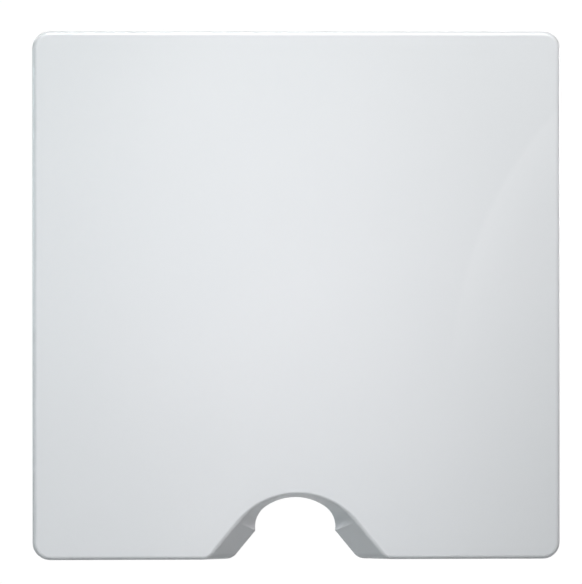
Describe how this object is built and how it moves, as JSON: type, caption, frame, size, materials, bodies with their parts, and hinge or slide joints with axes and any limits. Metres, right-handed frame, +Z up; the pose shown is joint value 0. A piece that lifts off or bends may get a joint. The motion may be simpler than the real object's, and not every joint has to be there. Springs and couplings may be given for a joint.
{
  "type": "hinged access door",
  "caption": "Square moulded door leaf with a finger notch in its bottom edge, hung by sprung pins on a wall-fixed surround frame with a magnetic catch.",
  "frame": {"origin": "centre of the surround frame's back plane, which is the centre of its four fixing holes", "axes": "+X to the right seen from the front, +Y into the wall, +Z up"},
  "size_m": [0.25, 0.016, 0.25],
  "materials": {
    "leaf_white": "smooth satin-gloss moulding, faint grain",
    "frame_grey": "fine matt moulding",
    "bush_acetal": "dark acetal",
    "plug_grey": "matt plastic",
    "catch_grey": "matt plastic",
    "magnet_ferrite": "dull ferrite",
    "pole_steel": "zinc plated",
    "screw_steel": "zinc plated",
    "stop_rubber": "matt rubber",
    "block_white": "matt plastic",
    "spring_steel": "drawn spring wire",
    "strike_steel": "zinc plated sheet",
    "rivet_aluminium": "plain aluminium",
    "pin_steel": "ground steel",
    "tab_grey": "matt plastic"
  },
  "bodies": {
    "frame": {"surround_frame": "frame_grey", "hinge_bush_upper": "bush_acetal", "hinge_bush_lower": "bush_acetal", "spare_pivot_plugs": "plug_grey", "catch_housing": "catch_grey", "catch_magnet": "magnet_ferrite", "catch_pole_plates": "pole_steel", "catch_screws": "screw_steel", "bumper_pads": "stop_rubber"},
    "door": {"door_panel": "leaf_white", "hinge_block_upper": "block_white", "hinge_block_lower": "block_white", "hinge_screws_upper": "screw_steel", "hinge_screws_lower": "screw_steel", "pin_spring_upper": "spring_steel", "pin_spring_lower": "spring_steel", "strike_plate": "strike_steel", "strike_rivets": "rivet_aluminium"},
    "pin_upper": {"hinge_pin_upper": "pin_steel", "pin_tab_upper": "tab_grey"},
    "pin_lower": {"hinge_pin_lower": "pin_steel", "pin_tab_lower": "tab_grey"}
  },
  "joints": [
    {"name": "door_hinge", "type": "hinge", "parent": "frame", "child": "door", "pos_m": [-0.119, -0.0098, 0], "axis": [0, 0, -1], "range_deg": [0, 120]},
    {"name": "pin_upper_slide", "type": "slide", "parent": "door", "child": "pin_upper", "axis": [0, 0, -1], "range_m": [0, 0.0085], "stiffness_N_per_m": 300, "springref_m": -0.004, "deforming": ["pin_spring_upper"]},
    {"name": "pin_lower_slide", "type": "slide", "parent": "door", "child": "pin_lower", "axis": [0, 0, 1], "range_m": [0, 0.0085], "stiffness_N_per_m": 300, "springref_m": -0.004, "deforming": ["pin_spring_lower"]}
  ]
}
